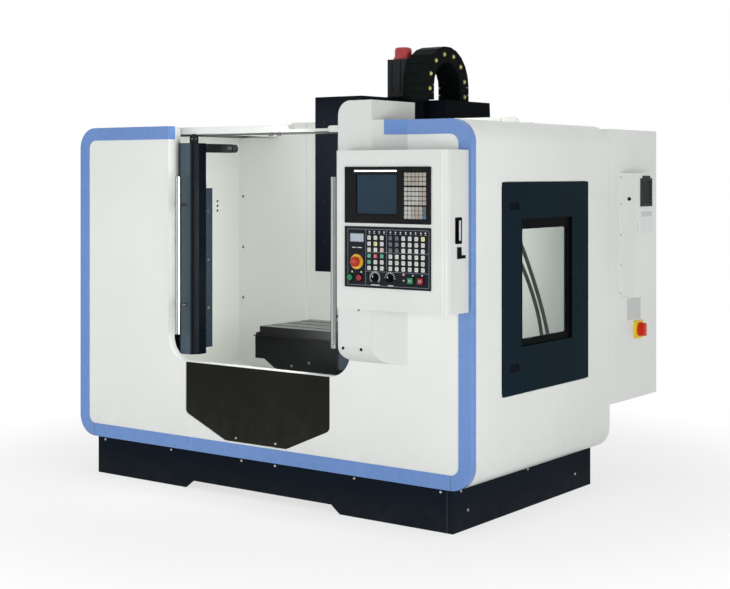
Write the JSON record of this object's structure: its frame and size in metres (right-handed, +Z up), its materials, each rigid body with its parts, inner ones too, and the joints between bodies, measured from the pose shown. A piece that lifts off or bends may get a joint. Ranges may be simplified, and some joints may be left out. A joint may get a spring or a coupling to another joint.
{
  "type": "cnc machining center",
  "caption": "Vertical CNC machining center with sliding front doors, operator box, slotted table, spindle head, column and electrical cabinet",
  "frame": {"origin": "middle of the footprint at floor level (bottom centre of the bounding box)", "axes": "+X to the right seen from the front, +Y to the back, +Z up"},
  "size_m": [2.49, 2.004, 2.22],
  "materials": {
    "white_paint": "semi-gloss",
    "blue_paint": "semi-gloss",
    "navy_paint": "semi-gloss",
    "black_paint": "satin",
    "grey_iron": "machined",
    "bright_steel": "brushed",
    "zinc_steel": "satin",
    "chrome": "polished",
    "clear_glass": "clear",
    "black_plastic": "matte",
    "panel_plastic": "matte",
    "red_plastic": "gloss",
    "yellow_plastic": "gloss",
    "green_plastic": "gloss",
    "hose_rubber": "matte"
  },
  "bodies": {
    "frame": {"edge_trim": "blue_paint", "front_panel": "white_paint", "apron": "black_paint", "housing": "white_paint", "top_rail": "white_paint", "plinth": "navy_paint", "bed": "grey_iron", "levelling_feet": "zinc_steel", "chip_pan": "white_paint", "column": "navy_paint", "feed_motor": "black_paint", "motor_cap": "red_plastic", "cabinet": "white_paint", "cooling_unit": "white_paint", "cooling_grille": "black_plastic", "isolator_plate": "yellow_plastic", "side_cover_left": "white_paint", "side_cover_right": "white_paint", "liner_left": "white_paint", "liner_right": "white_paint", "coolant_hoses": "hose_rubber", "hose_blocks": "black_paint"},
    "left_door": {"door_left": "navy_paint", "door_glass_left": "clear_glass", "door_hanger_left": "black_paint", "door_handle_left": "bright_steel"},
    "right_door": {"door_right": "navy_paint", "door_glass_right": "clear_glass", "door_hanger_right": "black_paint", "door_handle_right": "bright_steel"},
    "saddle_unit": {"saddle": "grey_iron", "saddle_guard": "black_paint"},
    "table_unit": {"table": "grey_iron"},
    "head_unit": {"head_casting": "grey_iron", "head_cover": "navy_paint", "drag_chain": "black_plastic"},
    "spindle_unit": {"spindle": "bright_steel"},
    "cabinet_leaf": {"cabinet_door": "white_paint"},
    "isolator_switch": {"isolator_knob": "red_plastic"},
    "side_leaf_left": {"side_door_left": "navy_paint", "side_glass_left": "clear_glass"},
    "side_leaf_right": {"side_door_right": "navy_paint", "side_glass_right": "clear_glass"},
    "operator_box": {"box_shell": "white_paint", "screen_unit": "panel_plastic", "operator_panel": "panel_plastic", "lock_cup": "black_plastic", "box_hook": "black_paint"},
    "lever": {"lock_lever": "chrome"},
    "estop": {"estop_button": "red_plastic"},
    "feed_knob": {"feed_dial": "black_plastic"},
    "mode_knob": {"mode_dial": "black_plastic"},
    "start_push": {"start_button": "green_plastic"},
    "stop_push": {"stop_button": "red_plastic"},
    "cycle_push": {"cycle_start": "green_plastic"},
    "hold_push": {"feed_hold": "red_plastic"},
    "upper_catch_right": {"latch_upper_right": "black_plastic"},
    "lower_catch_right": {"latch_lower_right": "black_plastic"},
    "upper_catch_left": {"latch_upper_left": "black_plastic"},
    "lower_catch_left": {"latch_lower_left": "black_plastic"}
  },
  "joints": [
    {"name": "left_door_slide", "type": "slide", "parent": "frame", "child": "left_door", "axis": [1, 0, 0], "range_m": [0, 0.43]},
    {"name": "right_door_slide", "type": "slide", "parent": "frame", "child": "right_door", "axis": [-1, 0, 0], "range_m": [0, 0.43]},
    {"name": "y_axis", "type": "slide", "parent": "frame", "child": "saddle_unit", "axis": [0, 1, 0], "range_m": [-0.25, 0.15]},
    {"name": "x_axis", "type": "slide", "parent": "saddle_unit", "child": "table_unit", "axis": [1, 0, 0], "range_m": [-0.325, 0.325]},
    {"name": "z_axis", "type": "slide", "parent": "frame", "child": "head_unit", "axis": [0, 0, 1], "range_m": [-0.11, 0.39], "deforming": ["drag_chain"]},
    {"name": "spindle_spin", "type": "hinge", "parent": "head_unit", "child": "spindle_unit", "pos_m": [-0.042, -0.039, 0.95], "axis": [0, 0, 1], "continuous": true},
    {"name": "side_door_right_hinge", "type": "hinge", "parent": "frame", "child": "side_leaf_right", "pos_m": [1.161, 0.2435, 1.035], "axis": [0, 0, 1], "range_deg": [0, 105]},
    {"name": "side_door_left_hinge", "type": "hinge", "parent": "frame", "child": "side_leaf_left", "pos_m": [-1.245, 0.1025, 1.035], "axis": [0, 0, -1], "range_deg": [0, 105]},
    {"name": "cabinet_door_hinge", "type": "hinge", "parent": "frame", "child": "cabinet_leaf", "pos_m": [0.338, 1.002, 1.083], "axis": [0, 0, 1], "range_deg": [0, 110]},
    {"name": "operator_box_hinge", "type": "hinge", "parent": "frame", "child": "operator_box", "pos_m": [0.571, -0.886, 1.299], "axis": [0, 0, -1], "range_deg": [0, 90]},
    {"name": "isolator_turn", "type": "hinge", "parent": "frame", "child": "isolator_switch", "pos_m": [1.17, 0.781, 0.751], "axis": [1, 0, 0], "range_deg": [0, 90]},
    {"name": "upper_catch_right_lift", "type": "hinge", "parent": "side_leaf_right", "child": "upper_catch_right", "pos_m": [1.159, -0.412, 1.398], "axis": [0, 0, 1], "range_deg": [0, 30], "stiffness_Nm_per_rad": 0.3},
    {"name": "lower_catch_right_lift", "type": "hinge", "parent": "side_leaf_right", "child": "lower_catch_right", "pos_m": [1.159, -0.412, 0.685], "axis": [0, 0, 1], "range_deg": [0, 30], "stiffness_Nm_per_rad": 0.3},
    {"name": "upper_catch_left_lift", "type": "hinge", "parent": "side_leaf_left", "child": "upper_catch_left", "pos_m": [-1.243, -0.412, 1.398], "axis": [0, 0, -1], "range_deg": [0, 30], "stiffness_Nm_per_rad": 0.3},
    {"name": "lower_catch_left_lift", "type": "hinge", "parent": "side_leaf_left", "child": "lower_catch_left", "pos_m": [-1.243, -0.412, 0.685], "axis": [0, 0, -1], "range_deg": [0, 30], "stiffness_Nm_per_rad": 0.3},
    {"name": "lever_lift", "type": "hinge", "parent": "operator_box", "child": "lever", "pos_m": [1.1445, -0.87, 1.347], "axis": [0, -1, 0], "range_deg": [0, 40], "stiffness_Nm_per_rad": 0.5, "springref_deg": -11.46},
    {"name": "estop_push", "type": "slide", "parent": "operator_box", "child": "estop", "axis": [0, 1, 0], "range_m": [0, 0.005], "stiffness_N_per_m": 500},
    {"name": "feed_dial_turn", "type": "hinge", "parent": "operator_box", "child": "feed_knob", "pos_m": [0.784, -0.975, 1.097], "axis": [0, -1, 0], "range_deg": [-135, 135]},
    {"name": "mode_dial_turn", "type": "hinge", "parent": "operator_box", "child": "mode_knob", "pos_m": [0.862, -0.975, 1.097], "axis": [0, -1, 0], "range_deg": [-135, 135]},
    {"name": "start_press", "type": "slide", "parent": "operator_box", "child": "start_push", "axis": [0, 1, 0], "range_m": [0, 0.003], "stiffness_N_per_m": 300},
    {"name": "stop_press", "type": "slide", "parent": "operator_box", "child": "stop_push", "axis": [0, 1, 0], "range_m": [0, 0.003], "stiffness_N_per_m": 300},
    {"name": "cycle_press", "type": "slide", "parent": "operator_box", "child": "cycle_push", "axis": [0, 1, 0], "range_m": [0, 0.003], "stiffness_N_per_m": 300},
    {"name": "hold_press", "type": "slide", "parent": "operator_box", "child": "hold_push", "axis": [0, 1, 0], "range_m": [0, 0.003], "stiffness_N_per_m": 300}
  ]
}
